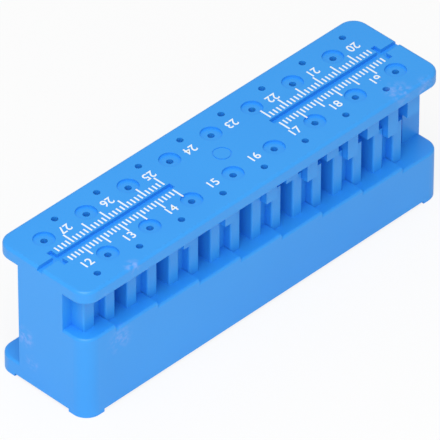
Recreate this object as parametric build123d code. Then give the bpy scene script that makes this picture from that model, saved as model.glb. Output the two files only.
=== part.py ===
from build123d import *
import os

# Outer block. It lies along X, stands at z = 0 and has its middle on the Z axis.
LENGTH = 101.0
WIDTH = 25.2
HEIGHT = 32.0
CORNER_RADIUS = 3.6
PLATE_THICKNESS = 3.0
TOP_EDGE_RADIUS = 0.7
UNDER_EDGE_RADIUS = 0.4
LEDGE_EDGE_RADIUS = 0.6

# Feet under the four corners
FOOT_HEIGHT = 0.7
FOOT_REACH = 5.0

# Measuring places along the front side. The back side is the same, half a turn on.
PLACES = 8
PITCH = 11.6
PLAIN_FIRST_X = -43.5
PLAIN_Y = 8.9
DISH_FIRST_X = -37.7
DISH_Y = 5.95
HOLE_RADIUS = 0.75
HOLE_END_ABOVE_LEDGE = 4.0
DISH_RADIUS = 2.3
DISH_DEPTH = 0.5
DEPTH_STEP = 1.0
FRONT_FIRST_DEPTH = 12.0
BACK_FIRST_DEPTH = FRONT_FIRST_DEPTH + PLACES * DEPTH_STEP
STEP_AFTER_PLAIN = 1.3

# Wall of columns under the plate
WEB_HALF_WIDTH = 4.6
END_WALL_HALF_WIDTH = 6.2
END_WALL_LENGTH = 5.0
COLUMN_FACE_Y = 9.6
COLUMN_EDGE_RADIUS = 0.4
FIRST_COLUMN_X = -48.0
PLAIN_GAP_WIDTH = 2.9
PLAIN_GAP_BACK_Y = 7.7
DISH_GAP_WIDTH = 3.3
COLUMN_DROP = 10.4
POCKET_BACK_Y = 8.3

# Guides hanging from the plate over the gaps, each this far above its ledge
GUIDE_FACE_Y = 11.0
PLAIN_GUIDE_DROP = 8.4
DISH_GUIDE_DROP = 11.4

# Ruler grooves and gate mark in the top
RULER_ZERO_X = 45.0
RULER_LENGTH = 31.0
GROOVE_WIDTH = 1.5
GROOVE_DEPTH = 0.9
CROSS_SLOT_WIDTH = 1.2
CROSS_SLOT_LENGTH = 5.0
GATE_RADIUS = 2.0
GATE_RING_WIDTH = 0.3
GATE_RING_DEPTH = 0.15

SPARE = 1.0

half_length = LENGTH / 2
half_width = WIDTH / 2
plate_under_z = HEIGHT - PLATE_THICKNESS


def box_between(low, high):
    """A box given by its low and high corners."""
    size = [high[i] - low[i] for i in range(3)]
    middle = [(high[i] + low[i]) / 2 for i in range(3)]
    return Pos(*middle) * Box(*size)


def slab(low_z, high_z):
    """The block's rounded outline between two heights."""
    return Pos(0, 0, low_z) * extrude(RectangleRounded(LENGTH, WIDTH, CORNER_RADIUS), high_z - low_z)


def half_turn(shape):
    """The same shape on the other side of the block."""
    return Rot(0, 0, 180) * shape


def top_plate():
    """The plate with its softly rounded upper and lower edges."""
    plate = slab(plate_under_z, HEIGHT)
    plate = fillet(plate.faces().sort_by(Axis.Z)[-1].edges(), TOP_EDGE_RADIUS)
    return fillet(plate.faces().sort_by(Axis.Z)[0].edges(), UNDER_EDGE_RADIUS)


def base_side(first_depth):
    """The front half of the base, one ledge after another, each a step lower."""
    ledges = []
    low_x = -half_length - SPARE
    for place in range(PLACES + 1):
        high_x = PLAIN_FIRST_X + STEP_AFTER_PLAIN + place * PITCH
        if place == PLACES:
            high_x = half_length + SPARE
        ledge_z = HEIGHT - first_depth - place * DEPTH_STEP
        step = slab(FOOT_HEIGHT, ledge_z)
        step = fillet(step.faces().sort_by(Axis.Z)[-1].edges(), LEDGE_EDGE_RADIUS)
        window = box_between((low_x, -half_width - SPARE, 0), (high_x, 0, HEIGHT))
        ledges.append(step & window)
        low_x = high_x
    return ledges


def column(low_x, high_x, ledge_z):
    """One column from its ledge up, cut back to a pocket above its top."""
    top_z = min(ledge_z + COLUMN_DROP, plate_under_z + SPARE)
    front = box_between((low_x, -COLUMN_FACE_Y, ledge_z - SPARE), (high_x, -WEB_HALF_WIDTH + SPARE, top_z))
    front = fillet(front.edges().filter_by(Axis.Z).group_by(Axis.Y)[0], COLUMN_EDGE_RADIUS)
    back = box_between(
        (low_x, -POCKET_BACK_Y, ledge_z - SPARE),
        (high_x, -WEB_HALF_WIDTH + SPARE, plate_under_z + SPARE),
    )
    return front + back


def guide(middle_x, width, bottom_z):
    """A block hanging from the plate over one gap."""
    low = (middle_x - width / 2, -GUIDE_FACE_Y, bottom_z)
    high = (middle_x + width / 2, -WEB_HALF_WIDTH + SPARE, plate_under_z + SPARE)
    return box_between(low, high)


def side_wall(first_depth):
    """The front side's columns, gap backs and drilled guides, which rise from the ledges."""
    pieces = []
    holes = hole_cuts(first_depth)
    column_low_x = FIRST_COLUMN_X
    for place in range(PLACES):
        plain_x = PLAIN_FIRST_X + place * PITCH
        dish_x = DISH_FIRST_X + place * PITCH
        plain_low_x = plain_x - PLAIN_GAP_WIDTH / 2
        plain_high_x = plain_x + PLAIN_GAP_WIDTH / 2
        dish_low_x = dish_x - DISH_GAP_WIDTH / 2
        plain_ledge_z = HEIGHT - first_depth - place * DEPTH_STEP
        dish_ledge_z = plain_ledge_z - DEPTH_STEP
        pieces.append(column(column_low_x, plain_low_x, plain_ledge_z))
        pieces.append(column(plain_high_x, dish_low_x, dish_ledge_z))
        pieces.append(
            box_between(
                (plain_low_x, -PLAIN_GAP_BACK_Y, plain_ledge_z - SPARE),
                (plain_high_x, -WEB_HALF_WIDTH + SPARE, plate_under_z + SPARE),
            )
        )
        plain_guide_z = plain_ledge_z + PLAIN_GUIDE_DROP
        if plain_guide_z < plate_under_z:
            pieces.append(guide(plain_x, PLAIN_GAP_WIDTH, plain_guide_z).cut(*holes))
        dish_guide_z = dish_ledge_z + DISH_GUIDE_DROP
        if dish_guide_z < plate_under_z:
            pieces.append(guide(dish_x, DISH_GAP_WIDTH, dish_guide_z).cut(*holes))
        column_low_x = dish_x + DISH_GAP_WIDTH / 2
    return pieces


def hole_cuts(first_depth):
    """Each hole runs from the top through plate and guide, into the open gap below."""
    cuts = []
    for place in range(PLACES):
        plain_x = PLAIN_FIRST_X + place * PITCH
        dish_x = DISH_FIRST_X + place * PITCH
        end_z = HEIGHT - first_depth - place * DEPTH_STEP + HOLE_END_ABOVE_LEDGE
        for x, y, radius, low_z in (
            (plain_x, -PLAIN_Y, HOLE_RADIUS, end_z),
            (dish_x, -DISH_Y, HOLE_RADIUS, end_z),
            (dish_x, -DISH_Y, DISH_RADIUS, HEIGHT - DISH_DEPTH),
        ):
            height = HEIGHT + SPARE - low_z
            cuts.append(Pos(x, y, low_z + height / 2) * Cylinder(radius, height))
    return cuts


def ruler_cuts():
    """The left ruler's groove, out through the end, and the slot across its zero."""
    low_z = HEIGHT - GROOVE_DEPTH
    groove = box_between(
        (-half_length - SPARE, -GROOVE_WIDTH / 2, low_z),
        (-RULER_ZERO_X + RULER_LENGTH, GROOVE_WIDTH / 2, HEIGHT + SPARE),
    )
    slot = box_between(
        (-RULER_ZERO_X - CROSS_SLOT_WIDTH, -CROSS_SLOT_LENGTH / 2, low_z),
        (-RULER_ZERO_X, CROSS_SLOT_LENGTH / 2, HEIGHT + SPARE),
    )
    return [groove, slot]


def gate_ring():
    """The faint ring left by the mould's gate in the middle of the plate."""
    ring = Cylinder(GATE_RADIUS, 2 * GATE_RING_DEPTH) - Cylinder(
        GATE_RADIUS - GATE_RING_WIDTH, 2 * GATE_RING_DEPTH
    )
    return Pos(0, 0, HEIGHT) * ring


def feet():
    """Four low feet that follow the block's rounded corners."""
    outline = slab(0, FOOT_HEIGHT + SPARE)
    corners = []
    for x_side in (-1, 1):
        for y_side in (-1, 1):
            middle_x = x_side * (half_length - FOOT_REACH / 2)
            middle_y = y_side * (half_width - FOOT_REACH / 2)
            corners.append(outline & (Pos(middle_x, middle_y, 0) * Box(FOOT_REACH, FOOT_REACH, HEIGHT / 2)))
    return corners


def centre():
    """The web along the middle and the two end walls."""
    web = box_between(
        (-half_length + SPARE, -WEB_HALF_WIDTH, FOOT_HEIGHT),
        (half_length - SPARE, WEB_HALF_WIDTH, plate_under_z + SPARE),
    )
    walls = []
    for side in (-1, 1):
        middle_x = side * (half_length - END_WALL_LENGTH / 2)
        middle_z = (FOOT_HEIGHT + plate_under_z + SPARE) / 2
        size_z = plate_under_z + SPARE - FOOT_HEIGHT
        walls.append(Pos(middle_x, 0, middle_z) * Box(END_WALL_LENGTH, 2 * END_WALL_HALF_WIDTH, size_z))
    return [web] + walls


def measuring_block():
    """The whole block as one solid. The plate is drilled and grooved before it is joined on."""
    cuts = hole_cuts(FRONT_FIRST_DEPTH) + [half_turn(shape) for shape in hole_cuts(BACK_FIRST_DEPTH)]
    cuts += ruler_cuts() + [half_turn(shape) for shape in ruler_cuts()] + [gate_ring()]
    added = [top_plate().cut(*cuts)] + centre() + feet() + base_side(FRONT_FIRST_DEPTH) + side_wall(FRONT_FIRST_DEPTH)
    added += [half_turn(shape) for shape in base_side(BACK_FIRST_DEPTH) + side_wall(BACK_FIRST_DEPTH)]
    return added[0].fuse(*added[1:])


block = measuring_block()
os.makedirs("parts", exist_ok=True)
export_step(block, "parts/measuring_block.step")
print("solids", len(block.solids()), "volume", round(block.volume))
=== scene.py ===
"""Looks of the endodontic measuring block: plastic, printed figures and ruler ticks, floor and light."""
import logging
import math
from dataclasses import dataclass
from enum import Enum

import bpy
import numpy as np
from mathutils import Matrix, Vector


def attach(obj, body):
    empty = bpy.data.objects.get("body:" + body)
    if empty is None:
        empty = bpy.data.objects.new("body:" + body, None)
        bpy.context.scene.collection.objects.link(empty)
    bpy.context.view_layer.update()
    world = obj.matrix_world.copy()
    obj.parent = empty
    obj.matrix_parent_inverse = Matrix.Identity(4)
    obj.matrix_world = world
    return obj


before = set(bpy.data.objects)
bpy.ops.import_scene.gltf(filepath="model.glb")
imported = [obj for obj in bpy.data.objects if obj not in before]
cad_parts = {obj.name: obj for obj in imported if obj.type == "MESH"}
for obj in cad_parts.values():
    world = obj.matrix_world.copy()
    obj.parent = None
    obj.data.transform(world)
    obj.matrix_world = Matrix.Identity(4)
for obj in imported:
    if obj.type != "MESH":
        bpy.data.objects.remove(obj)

log = logging.getLogger("measuring_block")
MM = 0.001
WHITE = (1.0, 1.0, 1.0, 1.0)
MIX_FACTOR, MIX_FIRST, MIX_SECOND, MIX_RESULT = 0, 6, 7, 2
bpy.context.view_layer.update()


class Side(Enum):
    """The two long sides, each with the sign that half a turn gives it."""

    FRONT = 1
    BACK = -1


class Value:
    """A shader socket that does its maths with Python's operators."""

    def __init__(self, material: "Shader", socket: bpy.types.NodeSocket) -> None:
        """Keeps the socket and the shader that it belongs to."""
        self.material = material
        self.socket = socket

    def maths(self, operation: str, first: "Value | float", second: "Value | float") -> "Value":
        """Adds one Math node.

        Args:
            operation: The node's operation.
            first: A number or a Value.
            second: A number or a Value.

        Returns:
            The node's result.
        """
        return self.material.node("ShaderNodeMath", {"operation": operation}, {0: first, 1: second})

    def __add__(self, other: "Value | float") -> "Value":
        """The sum."""
        return self.maths("ADD", self, other)

    def __mul__(self, other: "Value | float") -> "Value":
        """The product."""
        return self.maths("MULTIPLY", self, other)

    __radd__ = __add__


class Shader:
    """A material under construction."""

    def __init__(self, name: str) -> None:
        """Starts a material that holds a plain Principled shader.

        Args:
            name: The material's name.
        """
        self.material = bpy.data.materials.new(name)
        self.material.use_nodes = True
        self.tree = self.material.node_tree
        self.surface = self.tree.nodes["Principled BSDF"]

    def node(self, kind: str, settings: dict, inputs: dict, output: int | str = 0) -> Value:
        """Adds a node of any kind.

        Args:
            kind: The node's type.
            settings: Its own settings, set first.
            inputs: Numbers, colours or Values for its sockets.
            output: The output to give back.

        Returns:
            The chosen output.
        """
        made = self.tree.nodes.new(kind)
        for key, value in settings.items():
            setattr(made, key, value)
        for key, value in inputs.items():
            self.feed(made.inputs[key], value)
        return Value(self, made.outputs[output])

    def mix(self, factor: Value, first: Value | tuple, second: Value | tuple) -> Value:
        """Blends two colours.

        Args:
            factor: 0 gives the first colour and 1 the second.
            first: The first colour.
            second: The second colour.

        Returns:
            The blended colour.
        """
        sockets = {MIX_FACTOR: factor, MIX_FIRST: first, MIX_SECOND: second}
        return self.node("ShaderNodeMix", {"data_type": "RGBA"}, sockets, MIX_RESULT)

    def feed(self, socket: bpy.types.NodeSocket, value: Value | float | tuple) -> None:
        """Links a Value to a socket, or sets the socket.

        Args:
            socket: The input to feed.
            value: A Value to link, or a number or colour to set.
        """
        if isinstance(value, Value):
            self.tree.links.new(value.socket, socket)
        else:
            socket.default_value = value


@dataclass(frozen=True)
class MouldedPlastic:
    """Satin blue plastic with a fine grain and pale rubbed places.

    Each rub is a middle and a radius in millimetres. The noise scales are per metre, and
    grain_height is in metres.
    """

    colour: tuple = (0.035, 0.36, 0.92, 1.0)
    deep_colour: tuple = (0.028, 0.32, 0.88, 1.0)
    rub_colour: tuple = (0.30, 0.46, 0.95, 1.0)
    roughness: float = 0.38
    rub_strength: float = 0.75
    cloud_scale: float = 45.0
    scratch_scale: float = 900.0
    grain_scale: float = 2600.0
    grain_height: float = 0.00002
    grain_strength: float = 0.25
    rub_roughness: float = 0.25
    scratch_detail: float = 4.0
    scratch_low: float = 0.42
    scratch_high: float = 0.68
    rubs: tuple = (
        ((-45.0, -10.6, 28.0), 3.6),
        ((-37.0, -12.2, 31.8), 2.6),
        ((-41.0, -12.6, 16.0), 4.2),
        ((-50.5, 4.5, 12.0), 3.4),
        ((-50.5, 2.5, 6.5), 2.4),
        ((39.0, -11.0, 32.0), 4.0),
        ((45.0, -12.5, 30.0), 3.2),
    )

    def rub_patch(self, shader: Shader, place: Value, centre: tuple, radius: float) -> Value:
        """Marks one round rubbed place.

        Args:
            shader: The material under construction.
            place: The point on the block, in metres.
            centre: The patch's middle in millimetres.
            radius: The patch's radius in millimetres.

        Returns:
            1 in the middle, falling smoothly to 0 at the radius.
        """
        away = shader.node(
            "ShaderNodeVectorMath",
            {"operation": "DISTANCE"},
            {0: place, 1: tuple(c * MM for c in centre)},
            "Value",
        )
        return shader.node(
            "ShaderNodeMapRange",
            {"interpolation_type": "SMOOTHSTEP"},
            {"Value": away, "From Min": radius * MM, "From Max": 0.0},
        )

    def build(self) -> bpy.types.Material:
        """Makes the material.

        Returns:
            The plastic, whose rubbed places are round patches broken up by a fine noise.
        """
        shader = Shader("blue_plastic")
        place = shader.node("ShaderNodeTexCoord", {}, {}, "Object")
        cloud = shader.node("ShaderNodeTexNoise", {}, {"Vector": place, "Scale": self.cloud_scale})
        scratch = {"Vector": place, "Scale": self.scratch_scale, "Detail": self.scratch_detail}
        fine = shader.node("ShaderNodeTexNoise", {}, scratch)
        spread = {"Value": fine, "From Min": self.scratch_low, "From Max": self.scratch_high}
        broken = shader.node("ShaderNodeMapRange", {}, spread)
        rubbed = sum(self.rub_patch(shader, place, centre, radius) for centre, radius in self.rubs)
        rub = rubbed * broken * self.rub_strength
        body = shader.mix(cloud, self.colour, self.deep_colour)
        shader.feed(shader.surface.inputs["Base Color"], shader.mix(rub, body, self.rub_colour))
        shader.feed(shader.surface.inputs["Roughness"], rub * self.rub_roughness + self.roughness)
        grain = shader.node("ShaderNodeTexNoise", {}, {"Vector": place, "Scale": self.grain_scale})
        lift = {"Height": grain, "Distance": self.grain_height, "Strength": self.grain_strength}
        bump = shader.node("ShaderNodeBump", {}, lift)
        shader.feed(shader.surface.inputs["Normal"], bump)
        return shader.material


@dataclass(frozen=True)
class WhiteInk:
    """Matt white printing ink."""

    colour: tuple = (0.86, 0.93, 0.98, 1.0)
    roughness: float = 0.55

    def build(self) -> bpy.types.Material:
        """Makes the ink.

        Returns:
            The ink, even in colour and roughness.
        """
        shader = Shader("white_ink")
        shader.feed(shader.surface.inputs["Base Color"], self.colour)
        shader.feed(shader.surface.inputs["Roughness"], self.roughness)
        return shader.material


@dataclass
class Block:
    """The moulded block itself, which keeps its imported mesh."""

    node: str = "measuring_block"

    def dress(self, plastic: bpy.types.Material) -> None:
        """Gives the block its plastic.

        Args:
            plastic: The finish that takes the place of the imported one.
        """
        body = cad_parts[self.node]
        body.data.materials.clear()
        body.data.materials.append(plastic)
        log.info("dressed %s", self.node)


@dataclass
class Print:
    """The white figures and ruler ticks on the plate, all in millimetres."""

    top: float = 32.0
    film: float = 0.04
    pitch: float = 11.6
    places: int = 8
    first_x: float = -42.8
    figure_y: float = -5.4
    figure_size: float = 2.9
    figure_weight: float = 0.03
    front_first: int = 12
    back_first: int = 20
    ruler_zero: float = 45.0
    ruler_ticks: int = 30
    tick_width: float = 0.36
    tick_start: float = 1.15
    short_tick: float = 1.45
    long_tick: float = 2.95
    long_every: int = 5

    def figure(self, number: int, place: int, side: Side) -> bpy.types.Object:
        """Prints one number beside its hole.

        Args:
            number: The depth in millimetres.
            place: The place along the row, from 0.
            side: The side of the block.

        Returns:
            The number as a thin mesh.
        """
        curve = bpy.data.curves.new(f"figure_{number}", "FONT")
        curve.body = str(number)
        curve.align_x = "CENTER"
        curve.align_y = "CENTER"
        curve.size = self.figure_size
        curve.extrude = self.film / 2
        curve.offset = self.figure_weight
        holder = bpy.data.objects.new("holder", curve)
        bpy.context.scene.collection.objects.link(holder)
        bpy.context.view_layer.update()
        graph = bpy.context.evaluated_depsgraph_get()
        mesh = bpy.data.meshes.new_from_object(holder.evaluated_get(graph))
        bpy.data.objects.remove(holder)
        spot = (self.first_x + place * self.pitch, self.figure_y, self.top + self.film / 2)
        mesh.transform(Matrix.Translation(spot))
        if side is Side.BACK:
            mesh.transform(Matrix.Rotation(math.pi, 4, "Z"))
        mesh.transform(Matrix.Scale(MM, 4))
        return bpy.data.objects.new(f"figure_{number}", mesh)

    def ticks(self, side: Side) -> bpy.types.Object:
        """Prints one ruler: thin boxes at every millimetre, on both sides of its groove.

        Each corner is the box's middle plus half its size times -1 or 1 along each axis.

        Args:
            side: FRONT gives the left ruler and BACK the one half a turn on.

        Returns:
            The ruler's ticks as one mesh.
        """
        number = np.repeat(np.arange(1, self.ruler_ticks + 1), 2)
        edge = np.tile([-1.0, 1.0], self.ruler_ticks)
        length = np.where(number % self.long_every == 0, self.long_tick, self.short_tick)
        middle = np.stack(
            [
                -self.ruler_zero + number,
                edge * (self.tick_start + length / 2),
                np.full(len(number), self.top + self.film / 2),
            ],
            axis=1,
        )
        half = np.stack(
            [np.full(len(number), self.tick_width), length, np.full(len(number), self.film)], axis=1
        ) / 2
        corner = np.array([[x, y, z] for z in (-1, 1) for y in (-1, 1) for x in (-1, 1)], dtype=float)
        points = (middle[:, None] + half[:, None] * corner[None]).reshape(-1, 3)
        points[:, :2] *= side.value
        faces = np.array(
            [[0, 2, 3, 1], [4, 5, 7, 6], [0, 1, 5, 4], [2, 6, 7, 3], [0, 4, 6, 2], [1, 3, 7, 5]]
        )
        every = (faces[None] + len(corner) * np.arange(len(number))[:, None, None]).reshape(-1, 4)
        mesh = bpy.data.meshes.new(f"ruler_{side.name.lower()}")
        mesh.from_pydata((points * MM).tolist(), [], every.tolist())
        return bpy.data.objects.new(mesh.name, mesh)

    def build(self, ink: bpy.types.Material) -> None:
        """Prints all numbers and both rulers.

        Args:
            ink: The finish of the print.
        """
        made = [self.ticks(side) for side in Side]
        for place in range(self.places):
            made.append(self.figure(self.front_first + place, place, Side.FRONT))
            made.append(self.figure(self.back_first + place, place, Side.BACK))
        for piece in made:
            bpy.context.scene.collection.objects.link(piece)
            piece.data.materials.clear()
            piece.data.materials.append(ink)
            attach(piece, "root")
            log.info("printed %s", piece.name)


@dataclass
class Studio:
    """Floor, soft light and the camera that takes the photograph.

    Lengths are in metres, apart from sensor, aim_right, aim_up and block_top, in millimetres.
    """

    floor_size: float = 6.0
    floor_grey: float = 0.9
    floor_glow: float = 0.85
    floor_roughness: float = 0.9
    world_strength: float = 0.52
    key_power: float = 2.1
    fill_power: float = 0.5
    key_place: tuple = (-0.25, -0.15, 0.55)
    fill_place: tuple = (-0.45, -0.35, 0.2)
    lamp_size: float = 0.4
    clip_end: float = 20.0
    azimuth: float = -45.34
    elevation: float = 39.35
    roll: float = 0.09
    distance: float = 1.6271
    focal_pixels: float = 8212.1
    photo_side: float = 440.0
    sensor: float = 36.0
    aim_right: float = 0.40
    aim_up: float = 13.20
    block_top: float = 32.0

    def floor(self) -> None:
        """Lays the pale floor under the block."""
        half = self.floor_size / 2
        mesh = bpy.data.meshes.new("floor")
        corners = [(-half, -half, 0), (half, -half, 0), (half, half, 0), (-half, half, 0)]
        mesh.from_pydata(corners, [], [(0, 1, 2, 3)])
        floor = bpy.data.objects.new("floor", mesh)
        bpy.context.scene.collection.objects.link(floor)
        shader = Shader("floor_paper")
        shader.feed(shader.surface.inputs["Base Color"], (self.floor_grey,) * 3 + (1.0,))
        shader.feed(shader.surface.inputs["Roughness"], self.floor_roughness)
        seen = shader.node("ShaderNodeLightPath", {}, {}, "Is Camera Ray") * self.floor_glow
        glow = shader.node("ShaderNodeEmission", {}, {"Color": WHITE, "Strength": 1.0})
        paper = Value(shader, shader.surface.outputs[0])
        mixed = shader.node("ShaderNodeMixShader", {}, {0: seen, 1: paper, 2: glow})
        shader.feed(shader.tree.nodes["Material Output"].inputs["Surface"], mixed)
        mesh.materials.append(shader.material)

    def lamp(self, name: str, place: tuple, power: float) -> None:
        """Hangs one square lamp that looks at the block.

        Args:
            name: The lamp's name.
            place: Where it hangs.
            power: Its power in watts.
        """
        data = bpy.data.lights.new(name, "AREA")
        data.energy = power
        data.size = self.lamp_size
        lamp = bpy.data.objects.new(name, data)
        lamp.location = place
        lamp.rotation_euler = (-Vector(place)).to_track_quat("-Z", "Y").to_euler()
        bpy.context.scene.collection.objects.link(lamp)

    def camera(self) -> None:
        """Sets the camera where the photograph was taken from.

        The way back to the camera comes from azimuth and elevation, and right and up are then
        turned about it by the roll. The aim offsets and the block's top are in millimetres.
        """
        a = math.radians(self.azimuth)
        e = math.radians(self.elevation)
        back = Vector((math.sin(a) * math.cos(e), -math.cos(a) * math.cos(e), math.sin(e)))
        level = Vector((0, 0, 1)).cross(back).normalized()
        upright = back.cross(level)
        turn = math.radians(self.roll)
        right = math.cos(turn) * level + math.sin(turn) * upright
        up = math.cos(turn) * upright - math.sin(turn) * level
        data = bpy.data.cameras.new("camera")
        data.sensor_width = self.sensor
        data.lens = self.focal_pixels / self.photo_side * self.sensor
        data.clip_end = self.clip_end
        camera = bpy.data.objects.new("camera", data)
        place = back * self.distance - (right * self.aim_right + up * self.aim_up) * MM
        place += Vector((0, 0, self.block_top * MM))
        camera.matrix_world = Matrix.Translation(place) @ Matrix((right, up, back)).transposed().to_4x4()
        bpy.context.scene.collection.objects.link(camera)
        bpy.context.scene.camera = camera

    def build(self) -> None:
        """Makes floor, world, lamps and camera."""
        self.floor()
        world = bpy.data.worlds.new("studio")
        bpy.context.scene.world = world
        world.use_nodes = True
        background = world.node_tree.nodes["Background"]
        background.inputs["Color"].default_value = WHITE
        background.inputs["Strength"].default_value = self.world_strength
        self.lamp("key", self.key_place, self.key_power)
        self.lamp("fill", self.fill_place, self.fill_power)
        self.camera()
        bpy.context.scene.view_settings.view_transform = "Standard"
        log.info("studio ready")


def main() -> None:
    """Dresses the block, prints on it and sets up the studio."""
    logging.basicConfig(level=logging.INFO)
    Block().dress(MouldedPlastic().build())
    Print().build(WhiteInk().build())
    Studio().build()


if __name__ == "__main__":
    main()
